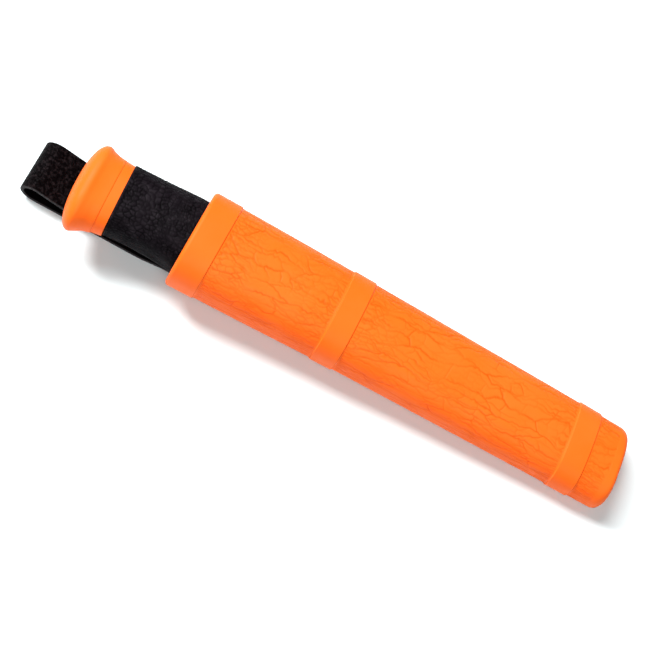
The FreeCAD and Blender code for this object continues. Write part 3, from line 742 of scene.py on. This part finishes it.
class Shading:
    """One procedural material, built up node by node."""

    def __init__(self, name):
        self.material = bpy.data.materials.new(name)
        self.material.use_nodes = True
        self.tree = self.material.node_tree
        self.shader = self.tree.nodes["Principled BSDF"]
        self.place = self.node("ShaderNodeTexCoord").outputs["Object"]

    def node(self, kind, **settings):
        """A new node with the given settings."""
        made = self.tree.nodes.new(kind)
        for key, value in settings.items():
            setattr(made, key, value)
        return made

    def link(self, source, target):
        """Joins two sockets."""
        self.tree.links.new(source, target)

    def set(self, **values):
        """Sets shader inputs to plain values; an underscore stands for a space."""
        for key, value in values.items():
            self.shader.inputs[key.replace("_", " ")].default_value = value

    def mask(self, name):
        """A value stored on the mesh."""
        return self.node("ShaderNodeAttribute", attribute_name=name).outputs["Fac"]

    def noise(self, scale, detail=4.0, stretch=None):
        """A smooth random value; stretch scales its place along each axis."""
        texture = self.node("ShaderNodeTexNoise")
        texture.inputs["Scale"].default_value = scale
        texture.inputs["Detail"].default_value = detail
        self.link(self.stretched(stretch), texture.inputs["Vector"])
        return texture.outputs["Fac"]

    def cells(self, scale):
        """Distance to the nearest gap between random cells."""
        texture = self.node("ShaderNodeTexVoronoi", feature="DISTANCE_TO_EDGE")
        texture.inputs["Scale"].default_value = scale
        self.link(self.place, texture.inputs["Vector"])
        return texture.outputs["Distance"]

    def stretched(self, stretch):
        """The place on the piece, scaled along each axis."""
        if stretch is None:
            return self.place
        mapping = self.node("ShaderNodeMapping")
        mapping.inputs["Scale"].default_value = stretch
        self.link(self.place, mapping.inputs["Vector"])
        return mapping.outputs["Vector"]

    def ramp(self, factor, low, high, start=0.0, end=1.0):
        """factor mapped from start..end to low..high."""
        mapped = self.node("ShaderNodeMapRange")
        for key, value in (("From Min", start), ("From Max", end), ("To Min", low), ("To Max", high)):
            mapped.inputs[key].default_value = value
        self.link(factor, mapped.inputs["Value"])
        return mapped.outputs["Result"]

    def blend(self, factor, first, second):
        """Colour first where factor is 0, second where it is 1."""
        mixed = self.node("ShaderNodeMix", data_type="RGBA")
        for socket, value in ((MIX_FIRST, first), (MIX_SECOND, second)):
            if isinstance(value, tuple):
                mixed.inputs[socket].default_value = (*value, 1.0)
            else:
                self.link(value, mixed.inputs[socket])
        self.link(factor, mixed.inputs[MIX_FACTOR])
        return mixed.outputs[MIX_RESULT]

    def colour(self, source):
        """Takes the surface's colour from a socket."""
        self.link(source, self.shader.inputs["Base Color"])

    def roughness(self, source):
        """Takes the surface's roughness from a socket."""
        self.link(source, self.shader.inputs["Roughness"])

    def bump(self, height, distance, strength=1.0):
        """Adds a bump on top of those before it."""
        bump = self.node("ShaderNodeBump")
        bump.inputs["Strength"].default_value = strength
        bump.inputs["Distance"].default_value = distance
        self.link(height, bump.inputs["Height"])
        earlier = self.shader.inputs["Normal"].links
        if earlier:
            self.link(earlier[0].from_socket, bump.inputs["Normal"])
        self.link(bump.outputs["Normal"], self.shader.inputs["Normal"])


# Colours, in linear light
ORANGE = (0.87, 0.121, 0.008)
# Painted shade: the colour of the sheath's grain cracks
CRACK_SHADE_ORANGE = (0.78, 0.070, 0.001)
PALE_ORANGE = (0.89, 0.132, 0.012)
# Wear and painted highlight: the lighter colour of the rim and the bands' edges
WORN_HIGHLIGHT_ORANGE = (0.90, 0.137, 0.010)
RUBBER = (0.0064, 0.0044, 0.0062)
DUSTY_RUBBER = (0.0175, 0.0138, 0.0170)
# Painted shade: the colour of the grip's grain cracks
RUBBER_CRACK_SHADE = (0.0004, 0.0002, 0.0004)
BLACK_LEATHER = (0.0008, 0.0001, 0.0003)
WORN_LEATHER = (0.0105, 0.0070, 0.0078)
LEATHER_NAP = (0.0016, 0.0010, 0.0011)
# Cut edge and painted highlight: the grey of the strap's edges
LEATHER_EDGE_HIGHLIGHT = (0.040, 0.036, 0.038)
STEEL, DULL_STEEL = (0.60, 0.61, 0.62), (0.50, 0.50, 0.51)
NICKEL, DULL_NICKEL = (0.62, 0.59, 0.54), (0.50, 0.47, 0.42)
LINER_BLACK, SCUFFED_LINER = (0.018, 0.018, 0.019), (0.032, 0.032, 0.033)
FLOOR_WHITE, FLOOR_PALE = (0.82, 0.90, 0.91), (0.83, 0.91, 0.92)


def orange_plastic(name, grained):
    """Bright moulded polymer: slightly mottled and satin; when grained, painted shade darkens its cracks
    and wear with painted highlight lightens the rim and the bands' edges.
    """
    s = Shading(name)
    mottle = s.ramp(s.noise(45.0, 3.0), 0.0, 1.0, 0.35, 0.65)
    base = s.blend(mottle, ORANGE, PALE_ORANGE)
    satin = s.ramp(s.noise(160.0, 5.0), 0.40, 0.52, 0.3, 0.7)
    if grained:
        # Painted shade: the grain's cracks are coloured a deeper, darker orange.
        base = s.blend(s.mask("crack"), base, CRACK_SHADE_ORANGE)
        # Wear and painted highlight: the rim and the bands' edges are coloured a lighter orange.
        rubbed = s.ramp(s.noise(220.0, 4.0), 0.0, 0.35, 0.42, 0.62)
        worn = s.node("ShaderNodeMath", operation="MULTIPLY")
        s.link(s.mask("wear_highlight"), worn.inputs[0])
        s.link(rubbed, worn.inputs[1])
        base = s.blend(worn.outputs["Value"], base, WORN_HIGHLIGHT_ORANGE)
    s.colour(base)
    s.roughness(satin)
    s.bump(s.noise(2600.0, 3.0), 0.00003, 0.5)
    s.bump(s.noise(500.0, 3.0), 0.00006, 0.4)
    s.set(Specular_IOR_Level=0.09, IOR=1.49)
    return s.material


def grip_rubber():
    """Black thermoplastic rubber with dust-grey high spots and painted shade in its cracks."""
    s = Shading("grip_rubber")
    dusty = s.ramp(s.noise(300.0, 6.0), 0.0, 1.0, 0.45, 0.75)
    high = s.blend(dusty, RUBBER, DUSTY_RUBBER)
    # Painted shade: the grain's cracks are coloured near black.
    s.colour(s.blend(s.mask("crack"), high, RUBBER_CRACK_SHADE))
    s.roughness(s.ramp(s.noise(420.0, 4.0), 0.42, 0.58, 0.3, 0.7))
    s.bump(s.noise(1500.0, 4.0), 0.00008, 0.6)
    s.set(Specular_IOR_Level=0.03, IOR=1.5)
    return s.material


def strap_leather():
    """Black dyed leather: pebbled grain outside, nap inside, grey cut edges that are partly painted
    highlight.
    """
    s = Shading("strap_leather")
    worn = s.ramp(s.noise(750.0, 3.0), 0.0, 1.0, 0.48, 0.64)
    face = s.blend(worn, BLACK_LEATHER, WORN_LEATHER)
    face = s.blend(s.mask("inner_face"), face, LEATHER_NAP)
    # Cut edge and painted highlight: the strap's edges are coloured grey.
    s.colour(s.blend(s.mask("cut_edge_highlight"), face, LEATHER_EDGE_HIGHLIGHT))
    s.roughness(s.ramp(s.noise(300.0, 5.0), 0.45, 0.68, 0.3, 0.7))
    s.bump(s.ramp(s.cells(900.0), 0.0, 1.0, 0.0, 0.12), 0.0003, 0.9)
    s.bump(s.noise(240.0, 5.0), 0.0004, 0.8)
    s.set(Specular_IOR_Level=0.03)
    return s.material


def brushed_steel():
    """Cold-ground stainless steel: fine lines along the blade and a few dull patches."""
    s = Shading("blade_steel")
    lines = s.noise(2600.0, 3.0, (0.02, 1.0, 1.0))
    dull = s.ramp(s.noise(35.0, 5.0), 0.0, 1.0, 0.35, 0.7)
    s.colour(s.blend(dull, STEEL, DULL_STEEL))
    s.roughness(s.ramp(lines, 0.26, 0.38, 0.3, 0.7))
    s.bump(lines, 0.000006, 0.4)
    s.set(Metallic=1.0)
    return s.material


def nickel():
    """Nickel-plated rivets with faint scratches."""
    s = Shading("rivet_nickel")
    rubbed = s.noise(700.0, 5.0)
    dull = s.ramp(rubbed, 0.0, 1.0, 0.4, 0.65)
    s.colour(s.blend(dull, NICKEL, DULL_NICKEL))
    s.roughness(s.ramp(s.noise(260.0, 5.0), 0.18, 0.38, 0.3, 0.7))
    s.bump(rubbed, 0.00002, 0.4)
    s.set(Metallic=1.0)
    return s.material


def liner_plastic():
    """Plain black moulded liner inside the sheath."""
    s = Shading("liner_plastic")
    scuffed = s.ramp(s.noise(90.0, 4.0), 0.0, 1.0, 0.4, 0.7)
    s.colour(s.blend(scuffed, LINER_BLACK, SCUFFED_LINER))
    s.roughness(s.ramp(s.noise(400.0, 4.0), 0.45, 0.6, 0.3, 0.7))
    s.bump(s.noise(1800.0, 3.0), 0.00004, 0.5)
    return s.material


def dress(node, material):
    """Gives a CAD node its finish."""
    materials = node.data.materials
    materials.clear()
    materials.append(material)


# ---------------------------------------------------------------- camera, floor and light

# Aim: millimetres from the middle of the sheath's mouth. Camera: metres, degrees, and the width
# seen at the aim. Lights: name, direction from the aim, width in metres, power in watts
AIM_POINT = (64.0, -2.4, -4.0)
CAMERA_DISTANCE = 0.95
CAMERA_ELEVATION = 70.0
CAMERA_ROLL = 28.6
FIELD_WIDTH = 0.260
SENSOR = 36.0
LIGHT_DISTANCE = 2.0
LIGHTS = (
    ("key", (-0.45, 0.34, 1.0), 1.15, 42.0),
    ("rim", (-0.9, 0.2, 1.0), 0.57, 37.0),
    ("fill", (0.1, -0.6, 1.0), 1.3, 20.0),
)
SURROUND = 0.12


def camera_axes():
    """Right, up and back of the camera: it looks down on the knife, which lies across it at a slant."""
    tilt, roll = math.radians(CAMERA_ELEVATION), math.radians(CAMERA_ROLL)
    back = Vector((0.0, -math.cos(tilt), math.sin(tilt)))
    level = Vector((1.0, 0.0, 0.0))
    over = back.cross(level)
    right = math.cos(roll) * level + math.sin(roll) * over
    return right, back.cross(right), back


def aim(place):
    """The point the camera and the lights look at."""
    return place.origin + MM * Vector(AIM_POINT)


def make_camera(target):
    """The product-shot camera, close enough for a little perspective."""
    right, up, back = camera_axes()
    data = bpy.data.cameras.new("camera")
    data.sensor_width = SENSOR
    data.lens = SENSOR * CAMERA_DISTANCE / FIELD_WIDTH
    data.clip_start = 0.01
    data.clip_end = 20.0
    camera = bpy.data.objects.new("camera", data)
    turn = Matrix((right, up, back)).transposed().to_4x4()
    camera.matrix_world = Matrix.Translation(target + CAMERA_DISTANCE * back) @ turn
    bpy.context.scene.collection.objects.link(camera)
    bpy.context.scene.camera = camera


def make_floor():
    """A plain pale table top."""
    bpy.ops.mesh.primitive_plane_add(size=6.0, location=(0.0, 0.0, 0.0))
    floor = bpy.context.object
    floor.name = "floor"
    s = Shading("floor_paper")
    s.colour(s.blend(s.noise(8.0, 2.0), FLOOR_WHITE, FLOOR_PALE))
    s.set(Roughness=0.9, Specular_IOR_Level=0.1)
    floor.data.materials.append(s.material)


def area_light(target, name, direction, size, power):
    """A soft round light that shines on the target from one side."""
    data = bpy.data.lights.new(name, "AREA")
    data.shape = "DISK"
    data.size = size
    data.energy = power
    light = bpy.data.objects.new(name, data)
    away = Vector(direction).normalized()
    light.location = target + LIGHT_DISTANCE * away
    light.rotation_mode = "QUATERNION"
    light.rotation_quaternion = away.to_track_quat("Z", "Y")
    bpy.context.scene.collection.objects.link(light)


def make_light(target):
    """A large key above the spine side, a smaller light beyond the pommel, a fill and an even surround."""
    for light in LIGHTS:
        area_light(target, *light)
    world = bpy.data.worlds.new("studio")
    world.use_nodes = True
    background = world.node_tree.nodes["Background"]
    background.inputs["Color"].default_value = (1.0, 1.0, 1.0, 1.0)
    background.inputs["Strength"].default_value = SURROUND
    bpy.context.scene.world = world
    bpy.context.scene.view_settings.view_transform = "Standard"


# ---------------------------------------------------------------- the whole

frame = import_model()
placement = Placement(frame)

make_camera(aim(placement))
make_floor()
make_light(aim(placement))

orange_grained = orange_plastic("sheath_plastic", True)
orange_smooth = orange_plastic("handle_plastic", False)
build_sheath(placement, orange_grained)
build_grip(placement, grip_rubber())
build_pommel(placement, orange_smooth)
build_strap(placement, strap_leather())

nodes = frame["nodes"]
dress(nodes["handle_core"], orange_smooth)
dress(nodes["blade"], brushed_steel())
dress(nodes["tang_pins"], nickel())
dress(nodes["rivet_posts"], nickel())
dress(nodes["rivet_caps"], nickel())
dress(nodes["blade_liner"], liner_plastic())
